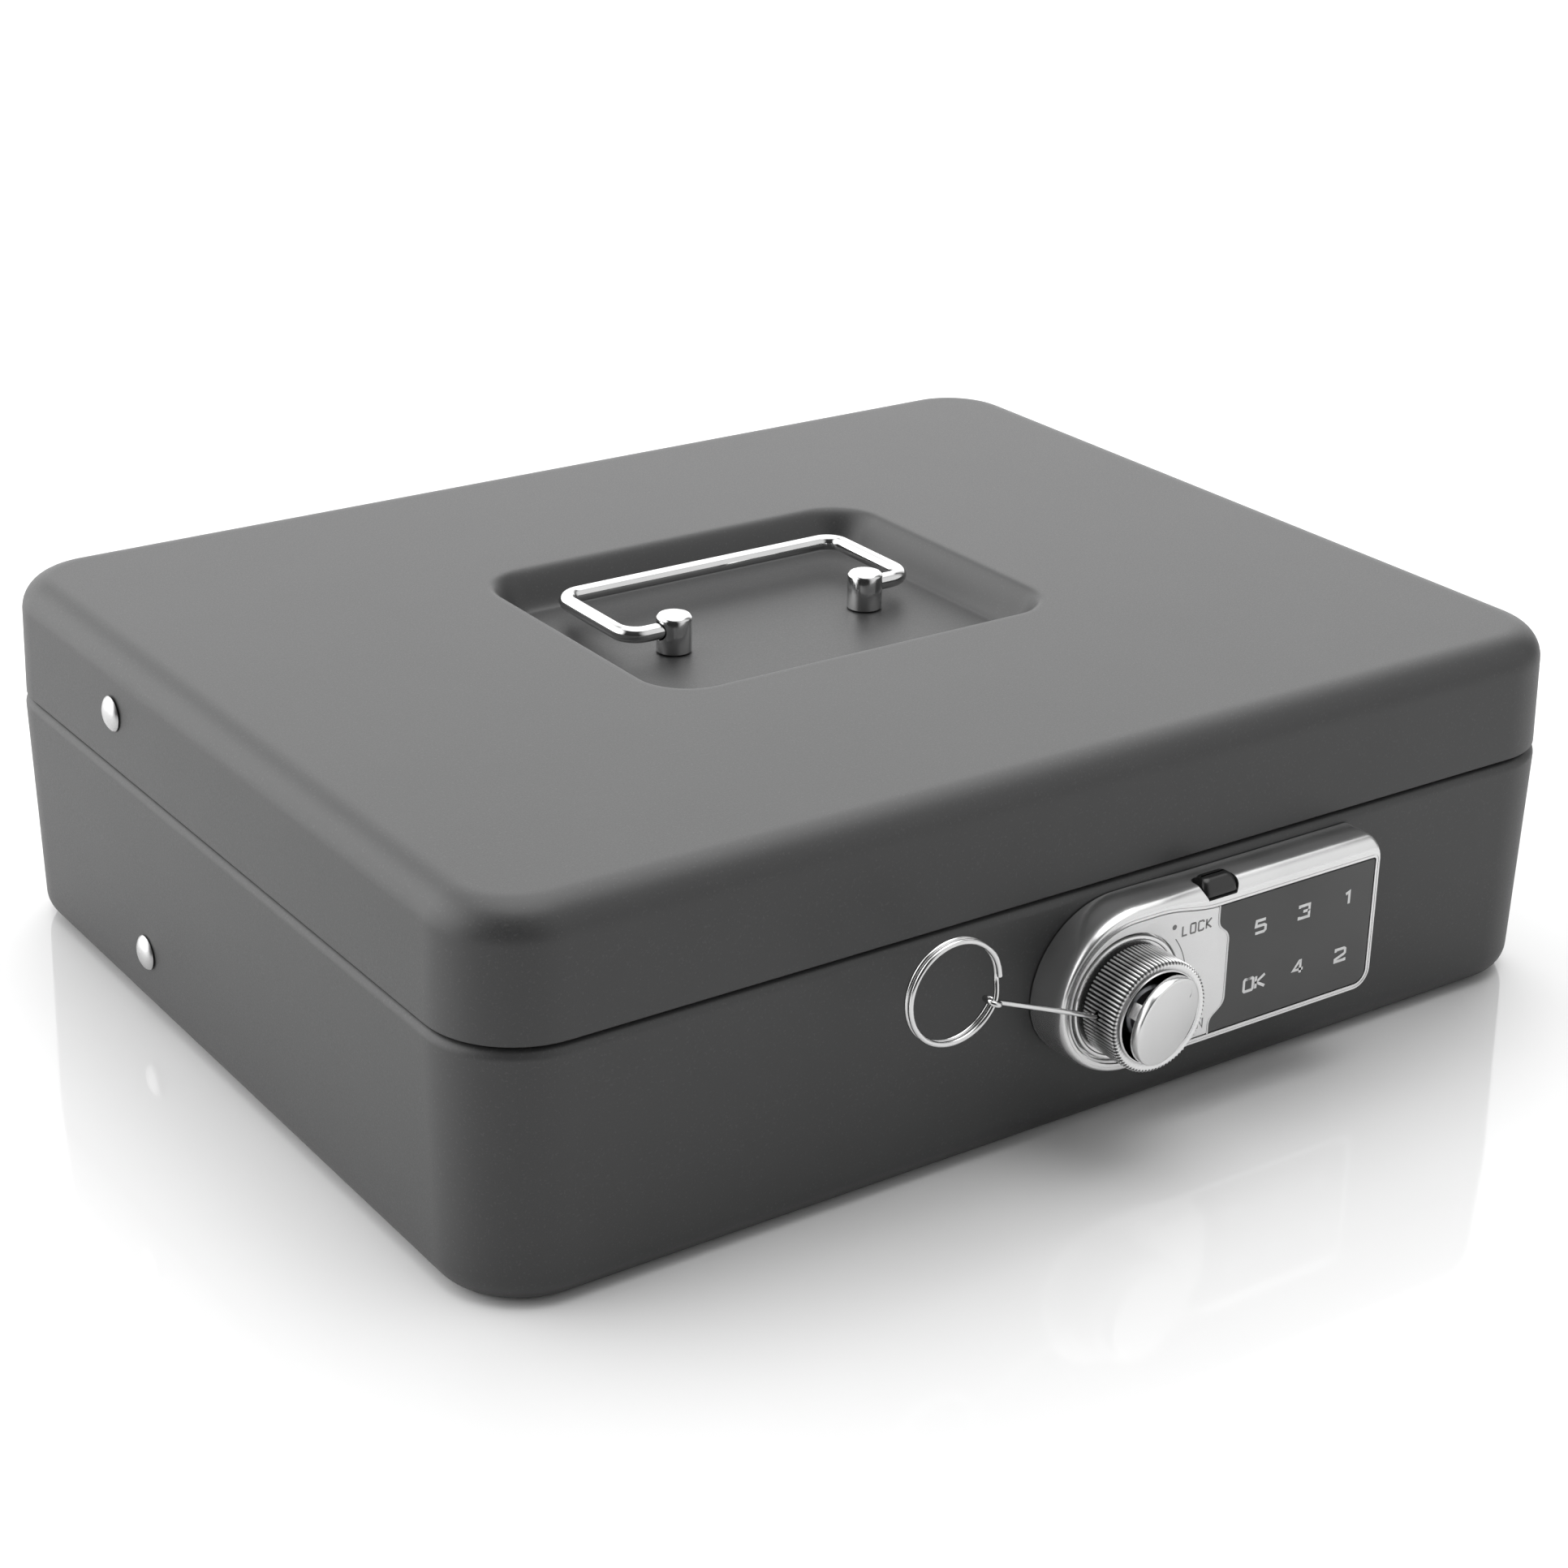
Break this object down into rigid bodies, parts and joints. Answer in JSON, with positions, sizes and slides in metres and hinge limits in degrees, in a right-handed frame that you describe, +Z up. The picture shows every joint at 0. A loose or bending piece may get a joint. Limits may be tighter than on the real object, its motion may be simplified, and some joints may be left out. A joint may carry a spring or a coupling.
{
  "type": "cash box",
  "caption": "Steel cash box with a hinged lid, a coin tray that rises with it, a recessed handle, and a front lock with a touch panel and a knob.",
  "frame": {"origin": "centre of the base's underside", "axes": "+Z up, -Y towards the front with the lock, +X to the right seen from the front"},
  "size_m": [0.3032, 0.272, 0.0894],
  "materials": {
    "paint": "fine matt powder coat",
    "chrome": "bright polished plating",
    "steel": "plain bright steel",
    "satin": "satin silver",
    "legend": "light grey printed plate",
    "panel": "dark touch panel with light digits",
    "black": "black moulded plastic",
    "tray": "black moulded tray",
    "board": "circuit board",
    "zinc": "plated sheet and die-cast zinc"
  },
  "bodies": {
    "base": {"base_shell": "paint", "lock_housing": "satin", "touch_panel": "panel", "legend_plate": "legend", "circuit_board": "board", "knob_collar": "satin", "spindle_bush": "zinc", "lock_case": "zinc", "lock_screw_lower": "steel", "lock_screw_upper": "steel", "housing_screw": "steel", "solenoid_body": "black", "solenoid_lead": "black", "base_rivet_left": "steel", "base_rivet_right": "steel", "hinge_base_leaf_left": "paint", "hinge_base_leaf_right": "paint", "hinge_pin_left": "steel", "hinge_pin_right": "steel"},
    "lid": {"lid_shell": "paint", "lid_striker": "zinc", "handle_post_left": "chrome", "handle_post_right": "chrome", "post_screw_left": "steel", "post_screw_right": "steel", "lid_rivet_left": "steel", "lid_rivet_right": "steel", "hinge_lid_leaf_left": "paint", "hinge_lid_leaf_right": "paint"},
    "handle": {"handle_bail": "chrome"},
    "tray": {"coin_tray": "tray", "tray_bracket_left": "zinc", "tray_bracket_right": "zinc", "tray_pin_left": "steel", "tray_pin_right": "steel", "bracket_rivet_front_left": "steel", "bracket_rivet_front_right": "steel", "bracket_rivet_rear_left": "steel", "bracket_rivet_rear_right": "steel"},
    "tray_link_left": {"tray_link_left": "zinc"},
    "tray_link_right": {"tray_link_right": "zinc"},
    "knob": {"knob_barrel": "satin", "knob_spindle": "steel", "key_cylinder": "zinc", "cover_pin": "steel", "latch_cam": "zinc"},
    "key_cover": {"key_cover": "satin"},
    "release_tool": {"release_pin": "chrome", "split_ring": "chrome"},
    "latch_bolt": {"latch_bolt": "steel"},
    "solenoid_plunger": {"solenoid_plunger": "steel"},
    "wake_button": {"wake_button": "black"},
    "battery_drawer": {"battery_drawer": "black", "battery_cell": "steel"}
  },
  "joints": [
    {"name": "lid_hinge", "type": "hinge", "parent": "base", "child": "lid", "pos_m": [0, 0.1228, 0.0593], "axis": [-1, 0, 0], "range_deg": [0, 100]},
    {"name": "handle_swing", "type": "hinge", "parent": "lid", "child": "handle", "pos_m": [0, 0.0015, 0.086], "axis": [1, 0, 0], "range_deg": [0, 180]},
    {"name": "tray_pivot", "type": "hinge", "parent": "lid", "child": "tray", "pos_m": [0, 0.05, 0.0738], "axis": [1, 0, 0], "range_deg": [0, 100]},
    {"name": "link_pivot_left", "type": "hinge", "parent": "base", "child": "tray_link_left", "pos_m": [-0.1441, 0.04, 0.0168], "axis": [-1, 0, 0], "range_deg": [0, 100]},
    {"name": "link_pivot_right", "type": "hinge", "parent": "base", "child": "tray_link_right", "pos_m": [0.1441, 0.04, 0.0168], "axis": [-1, 0, 0], "range_deg": [0, 100]},
    {"name": "knob_turn", "type": "hinge", "parent": "base", "child": "knob", "pos_m": [0.0038, -0.1366, 0.0368], "axis": [0, 1, 0], "range_deg": [0, 90]},
    {"name": "bolt_slide", "type": "slide", "parent": "base", "child": "latch_bolt", "axis": [1, 0, 0], "range_m": [0, 0.0121]},
    {"name": "key_cover_swing", "type": "hinge", "parent": "knob", "child": "key_cover", "pos_m": [0.01211, -0.1411, 0.03219], "axis": [0.4848, 0, 0.8746], "range_deg": [-13.3, 45]},
    {"name": "release_tool_slide", "type": "slide", "parent": "knob", "child": "release_tool", "axis": [-0.9259, 0, 0.3777], "range_m": [0, 0.03]},
    {"name": "solenoid_slide", "type": "slide", "parent": "base", "child": "solenoid_plunger", "axis": [-1, 0, 0], "range_m": [0, 0.0046]},
    {"name": "wake_button_press", "type": "slide", "parent": "base", "child": "wake_button", "axis": [0, 0, -1], "range_m": [0, 0.0005], "stiffness_N_per_m": 300},
    {"name": "battery_drawer_slide", "type": "slide", "parent": "base", "child": "battery_drawer", "axis": [1, 0, 0], "range_m": [0, 0.034]}
  ],
  "couplings": [
    {"joint": "tray_pivot", "follows": "lid_hinge", "ratio": 1},
    {"joint": "link_pivot_left", "follows": "lid_hinge", "ratio": 1},
    {"joint": "link_pivot_right", "follows": "lid_hinge", "ratio": 1},
    {"joint": "bolt_slide", "follows": "knob_turn", "m_per_rad": 0.0076394}
  ]
}
